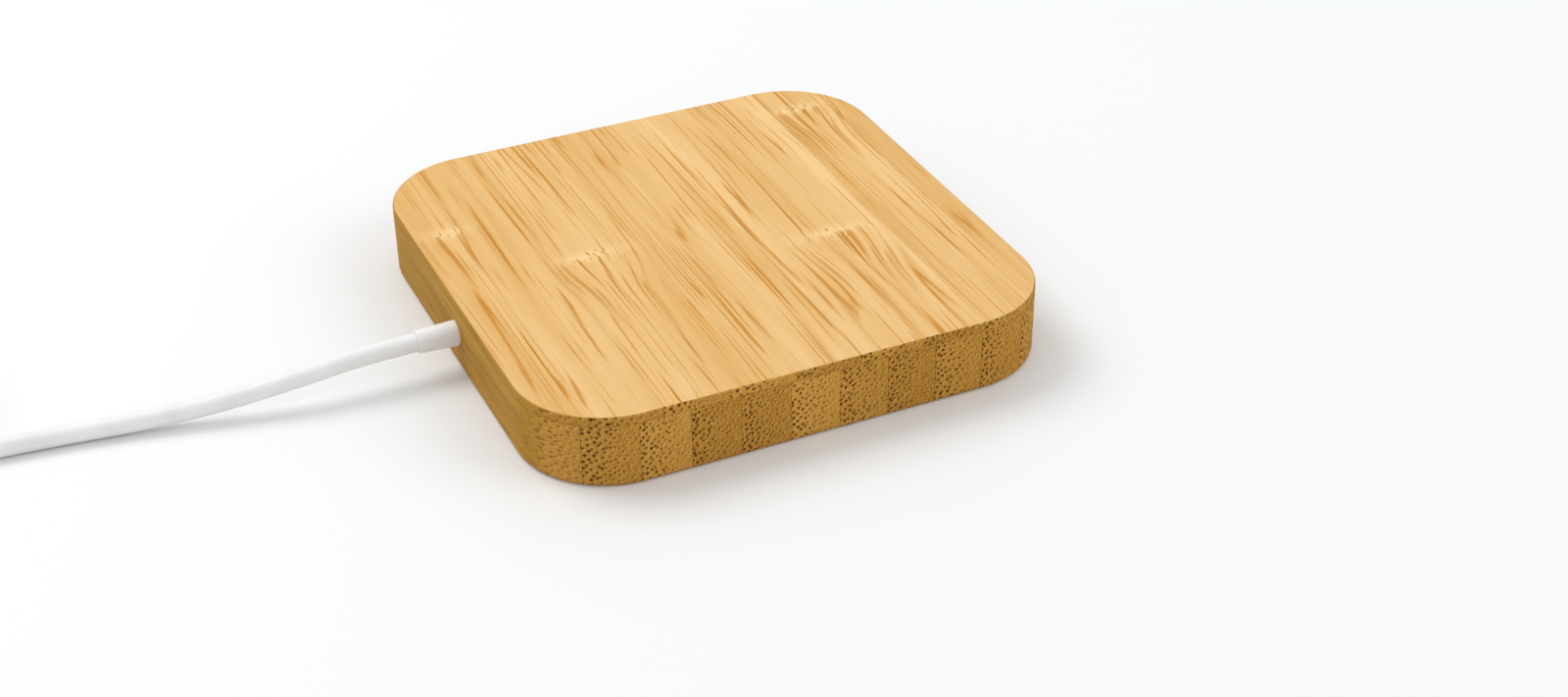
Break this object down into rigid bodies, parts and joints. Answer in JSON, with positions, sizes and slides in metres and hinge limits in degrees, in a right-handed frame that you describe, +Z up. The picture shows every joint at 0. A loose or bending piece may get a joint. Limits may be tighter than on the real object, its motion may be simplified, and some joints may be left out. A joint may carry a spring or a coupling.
{
  "type": "wireless charging pad",
  "caption": "Square bamboo wireless charging pad with rounded corners, magnets and a coil inside, and a fixed white cord ending in a USB-C plug.",
  "frame": {"origin": "centre of the flat underside, which is the charging face", "axes": "+Z up through the lid, bamboo grain along Y, and the cord leaves the case towards -X"},
  "size_m": [0.1654, 0.0668, 0.0092],
  "materials": {
    "bamboo": "satin, lightly oiled laminated bamboo",
    "wood_glue": "thin dry glue line",
    "clear_tape": "thin double-sided tape",
    "magnet_nickel": "nickel-plated sintered magnet",
    "plated_steel": "zinc-plated sheet steel",
    "enamelled_copper": "enamelled copper wire",
    "ferrite": "matt sintered ferrite",
    "thermistor_glass": "black bead",
    "tinned_metal": "bright tin and solder",
    "amber_film": "amber insulating film",
    "board_laminate": "green masked laminate",
    "chip_resin": "black moulding resin",
    "capacitor_ceramic": "fired ceramic with tinned ends",
    "inductor_core": "pressed iron powder",
    "foam": "open-cell foam",
    "cord_jacket": "matt white elastomer",
    "relief_resin": "soft slightly translucent white",
    "black_insulation": "black insulation",
    "red_insulation": "red insulation",
    "white_insulation": "white insulation",
    "tie_strap": "soft pale grey strap",
    "plug_white": "satin white moulding",
    "plug_steel": "drawn stainless steel",
    "plug_liner_resin": "dark moulding",
    "contact_gold": "gold-plated contact"
  },
  "bodies": {
    "root": {"bamboo_body": "bamboo", "bamboo_lid": "bamboo", "charge_controller": "chip_resin", "charging_coil": "enamelled_copper", "circuit_board": "board_laminate", "clock_crystal": "plated_steel", "coil_lead_inner": "enamelled_copper", "coil_lead_outer": "enamelled_copper", "coil_tape": "clear_tape", "cord_clamp_collar": "plated_steel", "cord_coil": "cord_jacket", "cord_inner_end": "cord_jacket", "cord_lead": "cord_jacket", "cord_tail": "cord_jacket", "cord_tie": "tie_strap", "face_tape": "clear_tape", "ferrite_shield": "ferrite", "filter_inductor": "inductor_core", "foam_pad": "foam", "ground_wire": "black_insulation", "input_capacitors": "capacitor_ceramic", "insulating_film": "amber_film", "lid_adhesive": "wood_glue", "plug_board": "board_laminate", "plug_contacts": "contact_gold", "plug_housing": "plug_white", "plug_latches": "plug_steel", "plug_liner": "plug_liner_resin", "plug_shell": "plug_steel", "plug_shield_can": "plug_steel", "plug_strain_relief": "relief_resin", "plug_wires": "white_insulation", "power_delivery_chip": "chip_resin", "power_switches": "chip_resin", "ring_magnets": "magnet_nickel", "signal_wire": "white_insulation", "small_passives": "capacitor_ceramic", "solder_joints": "tinned_metal", "steel_yoke_ring": "plated_steel", "strain_relief": "relief_resin", "supply_wire": "red_insulation", "thermistor": "thermistor_glass", "thermistor_legs": "tinned_metal", "tuning_capacitors": "capacitor_ceramic"}
  },
  "joints": []
}
